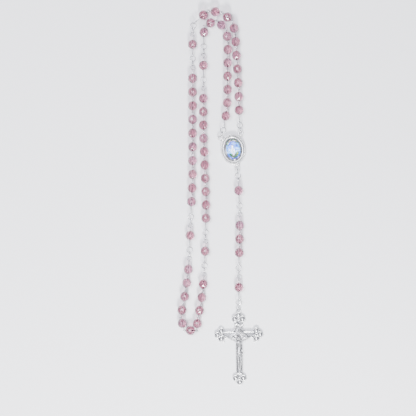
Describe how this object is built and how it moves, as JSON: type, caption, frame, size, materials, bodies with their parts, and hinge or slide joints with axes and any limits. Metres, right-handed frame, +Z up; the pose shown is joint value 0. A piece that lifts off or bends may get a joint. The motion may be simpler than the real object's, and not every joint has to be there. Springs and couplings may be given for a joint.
{
  "type": "rosary",
  "caption": "Glass-bead rosary laid out flat: linked eye pins and jump rings carry the beads, with an oval picture medal, a short pendant chain and a crucifix.",
  "frame": {"origin": "middle of the medal's flat back, on the surface that the rosary lies on", "axes": "+Z up from the surface, +Y along the medal's height away from the crucifix, +X to the right seen from above"},
  "size_m": [0.0517, 0.2263, 0.0059],
  "materials": {
    "amethyst_glass": "fire-polished faceted glass, transparent mauve-pink",
    "plated_wire": "bright silver-plated drawn wire",
    "cast_silver": "silver-plated casting, tumbled and darkened in its recesses",
    "printed_picture": "printed colour picture on a thin plate",
    "clear_dome": "clear cast resin dome, high gloss"
  },
  "bodies": {
    "upper_loop": {"decade_1_rings": "plated_wire", "decade_1_pins": "plated_wire", "decade_1_beads": "amethyst_glass", "decade_5_rings": "plated_wire", "decade_5_pins": "plated_wire", "decade_5_beads": "amethyst_glass"},
    "medal": {"medal_frame": "cast_silver", "medal_picture": "printed_picture", "medal_dome": "clear_dome"},
    "our_father_4": {"our_father_4_rings": "plated_wire", "our_father_4_pin": "plated_wire"},
    "our_father_4_bead": {"our_father_4_bead": "amethyst_glass"},
    "decade_4": {"decade_4_rings": "plated_wire", "decade_4_pins": "plated_wire", "decade_4_beads": "amethyst_glass"},
    "our_father_1": {"our_father_1_rings": "plated_wire", "our_father_1_pin": "plated_wire"},
    "our_father_1_bead": {"our_father_1_bead": "amethyst_glass"},
    "decade_2": {"decade_2_rings": "plated_wire", "decade_2_pins": "plated_wire", "decade_2_beads": "amethyst_glass"},
    "our_father_3": {"our_father_3_rings": "plated_wire", "our_father_3_pin": "plated_wire"},
    "our_father_3_bead": {"our_father_3_bead": "amethyst_glass"},
    "decade_3_start": {"decade_3_start_ring": "plated_wire", "decade_3_start_pins": "plated_wire", "decade_3_start_beads": "amethyst_glass"},
    "our_father_2": {"our_father_2_rings": "plated_wire", "our_father_2_pin": "plated_wire"},
    "our_father_2_bead": {"our_father_2_bead": "amethyst_glass"},
    "decade_3_end": {"decade_3_end_ring": "plated_wire", "decade_3_end_pins": "plated_wire", "decade_3_end_beads": "amethyst_glass"},
    "pendant_ring_1": {"pendant_ring_1": "plated_wire"},
    "pendant_ring_2": {"pendant_ring_2": "plated_wire"},
    "pendant_pin_1": {"pendant_pin_1": "plated_wire"},
    "pendant_bead_1": {"pendant_bead_1": "amethyst_glass"},
    "pendant_ring_3": {"pendant_ring_3": "plated_wire"},
    "pendant_ring_4": {"pendant_ring_4": "plated_wire"},
    "pendant_pin_2": {"pendant_pin_2": "plated_wire"},
    "pendant_bead_2": {"pendant_bead_2": "amethyst_glass"},
    "pendant_pin_3": {"pendant_pin_3": "plated_wire"},
    "pendant_bead_3": {"pendant_bead_3": "amethyst_glass"},
    "pendant_pin_4": {"pendant_pin_4": "plated_wire"},
    "pendant_bead_4": {"pendant_bead_4": "amethyst_glass"},
    "pendant_ring_5": {"pendant_ring_5": "plated_wire"},
    "pendant_ring_6": {"pendant_ring_6": "plated_wire"},
    "pendant_pin_5": {"pendant_pin_5": "plated_wire"},
    "pendant_bead_5": {"pendant_bead_5": "amethyst_glass"},
    "pendant_ring_7": {"pendant_ring_7": "plated_wire"},
    "pendant_ring_8": {"pendant_ring_8": "plated_wire"},
    "crucifix": {"crucifix_cross": "cast_silver", "crucifix_corpus": "cast_silver"}
  },
  "joints": [
    {"name": "medal_lift", "type": "hinge", "parent": "upper_loop", "child": "medal", "pos_m": [-0.00146, 0.00943, 0.00145], "axis": [-0.9768, -0.2141, 0], "range_deg": [0, 35]},
    {"name": "our_father_4_lift", "type": "hinge", "parent": "upper_loop", "child": "our_father_4", "pos_m": [-0.02422, 0.07232, 0.0029], "axis": [-1, 0, 0], "range_deg": [0, 45]},
    {"name": "decade_4_level", "type": "hinge", "parent": "our_father_4", "child": "decade_4", "pos_m": [-0.02423, 0.05257, 0.0029], "axis": [-1, 0, 0], "range_deg": [-45, 0]},
    {"name": "our_father_4_bead_spin", "type": "hinge", "parent": "our_father_4", "child": "our_father_4_bead", "pos_m": [-0.02423, 0.0627, 0.0029], "axis": [0, -1, 0], "continuous": true},
    {"name": "our_father_1_lift", "type": "hinge", "parent": "upper_loop", "child": "our_father_1", "pos_m": [-0.01775, 0.05977, 0.0029], "axis": [-1, 0, 0], "range_deg": [0, 45]},
    {"name": "decade_2_level", "type": "hinge", "parent": "our_father_1", "child": "decade_2", "pos_m": [-0.01773, 0.04003, 0.0029], "axis": [-1, 0, 0], "range_deg": [-45, 0]},
    {"name": "our_father_1_bead_spin", "type": "hinge", "parent": "our_father_1", "child": "our_father_1_bead", "pos_m": [-0.01773, 0.05016, 0.0029], "axis": [0, -1, 0], "continuous": true},
    {"name": "our_father_3_lift", "type": "hinge", "parent": "decade_4", "child": "our_father_3", "pos_m": [-0.02537, -0.04195, 0.0029], "axis": [-1, 0, 0], "range_deg": [0, 45]},
    {"name": "decade_3_start_level", "type": "hinge", "parent": "our_father_3", "child": "decade_3_start", "pos_m": [-0.02606, -0.06167, 0.0029], "axis": [-1, 0, 0], "range_deg": [-45, 0]},
    {"name": "our_father_3_bead_spin", "type": "hinge", "parent": "our_father_3", "child": "our_father_3_bead", "pos_m": [-0.0257, -0.05155, 0.0029], "axis": [-0.0349, -0.9994, 0], "continuous": true},
    {"name": "our_father_2_lift", "type": "hinge", "parent": "decade_2", "child": "our_father_2", "pos_m": [-0.01639, -0.05132, 0.0029], "axis": [-1, 0, 0], "range_deg": [0, 45]},
    {"name": "decade_3_end_level", "type": "hinge", "parent": "our_father_2", "child": "decade_3_end", "pos_m": [-0.0172, -0.07104, 0.0029], "axis": [-1, 0, 0], "range_deg": [-45, 0]},
    {"name": "our_father_2_bead_spin", "type": "hinge", "parent": "our_father_2", "child": "our_father_2_bead", "pos_m": [-0.01675, -0.06092, 0.0029], "axis": [-0.0349, -0.9994, 0], "continuous": true},
    {"name": "pendant_ring_1_lift", "type": "hinge", "parent": "medal", "child": "pendant_ring_1", "pos_m": [0.00258, -0.01202, 0.00145], "axis": [-0.9976, -0.0698, 0], "range_deg": [0, 12]},
    {"name": "pendant_ring_2_swing", "type": "hinge", "parent": "pendant_ring_1", "child": "pendant_ring_2", "pos_m": [0.00277, -0.0147, 0.00217], "axis": [0, 0, 1], "range_deg": [0, 15]},
    {"name": "pendant_pin_1_lift", "type": "hinge", "parent": "pendant_ring_2", "child": "pendant_pin_1", "pos_m": [0.00295, -0.01738, 0.0029], "axis": [-0.9976, -0.0698, 0], "range_deg": [0, 12]},
    {"name": "pendant_bead_1_spin", "type": "hinge", "parent": "pendant_pin_1", "child": "pendant_bead_1", "pos_m": [0.00333, -0.0247, 0.0029], "axis": [0.0523, -0.9986, 0], "continuous": true},
    {"name": "pendant_ring_3_swing", "type": "hinge", "parent": "pendant_pin_1", "child": "pendant_ring_3", "pos_m": [0.00374, -0.03254, 0.0029], "axis": [0, 0, 1], "range_deg": [0, 15]},
    {"name": "pendant_ring_4_lift", "type": "hinge", "parent": "pendant_ring_3", "child": "pendant_ring_4", "pos_m": [0.00384, -0.03531, 0.0029], "axis": [-0.9994, -0.0349, 0], "range_deg": [0, 12]},
    {"name": "pendant_pin_2_swing", "type": "hinge", "parent": "pendant_ring_4", "child": "pendant_pin_2", "pos_m": [0.00393, -0.03809, 0.0029], "axis": [0, 0, 1], "range_deg": [0, 20]},
    {"name": "pendant_bead_2_spin", "type": "hinge", "parent": "pendant_pin_2", "child": "pendant_bead_2", "pos_m": [0.00393, -0.04542, 0.0029], "axis": [0, -1, 0], "continuous": true},
    {"name": "pendant_pin_3_swing", "type": "hinge", "parent": "pendant_pin_2", "child": "pendant_pin_3", "pos_m": [0.00393, -0.04978, 0.0029], "axis": [0, 0, 1], "range_deg": [0, 25]},
    {"name": "pendant_bead_3_spin", "type": "hinge", "parent": "pendant_pin_3", "child": "pendant_bead_3", "pos_m": [0.00387, -0.05362, 0.0029], "axis": [-0.0175, -0.9998, 0], "continuous": true},
    {"name": "pendant_pin_4_swing", "type": "hinge", "parent": "pendant_pin_3", "child": "pendant_pin_4", "pos_m": [0.00379, -0.05798, 0.0029], "axis": [0, 0, 1], "range_deg": [0, 25]},
    {"name": "pendant_bead_4_spin", "type": "hinge", "parent": "pendant_pin_4", "child": "pendant_bead_4", "pos_m": [0.00366, -0.06182, 0.0029], "axis": [-0.0349, -0.9994, 0], "continuous": true},
    {"name": "pendant_ring_5_swing", "type": "hinge", "parent": "pendant_pin_4", "child": "pendant_ring_5", "pos_m": [0.00338, -0.06966, 0.0029], "axis": [0, 0, 1], "range_deg": [0, 20]},
    {"name": "pendant_ring_6_lift", "type": "hinge", "parent": "pendant_ring_5", "child": "pendant_ring_6", "pos_m": [0.00338, -0.07244, 0.0029], "axis": [-1, 0, 0], "range_deg": [0, 12]},
    {"name": "pendant_pin_5_swing", "type": "hinge", "parent": "pendant_ring_6", "child": "pendant_pin_5", "pos_m": [0.00344, -0.07522, 0.0029], "axis": [0, 0, 1], "range_deg": [0, 25]},
    {"name": "pendant_bead_5_spin", "type": "hinge", "parent": "pendant_pin_5", "child": "pendant_bead_5", "pos_m": [0.00344, -0.08255, 0.0029], "axis": [0, -1, 0], "continuous": true},
    {"name": "pendant_ring_7_swing", "type": "hinge", "parent": "pendant_pin_5", "child": "pendant_ring_7", "pos_m": [0.00344, -0.0904, 0.0029], "axis": [0, 0, 1], "range_deg": [0, 20]},
    {"name": "pendant_ring_8_lift", "type": "hinge", "parent": "pendant_ring_7", "child": "pendant_ring_8", "pos_m": [0.00335, -0.09307, 0.00204], "axis": [-0.9994, 0.0349, 0], "range_deg": [0, 12]},
    {"name": "crucifix_swing", "type": "hinge", "parent": "pendant_ring_8", "child": "crucifix", "pos_m": [0.00325, -0.09575, 0.00131], "axis": [0, 0, 1], "range_deg": [-15, 35]}
  ],
  "couplings": [
    {"joint": "decade_4_level", "follows": "our_father_4_lift", "ratio": -1},
    {"joint": "our_father_1_lift", "follows": "our_father_4_lift", "ratio": 1},
    {"joint": "decade_2_level", "follows": "our_father_4_lift", "ratio": -1},
    {"joint": "decade_3_start_level", "follows": "our_father_3_lift", "ratio": -1},
    {"joint": "our_father_2_lift", "follows": "our_father_3_lift", "ratio": 1},
    {"joint": "decade_3_end_level", "follows": "our_father_3_lift", "ratio": -1}
  ]
}
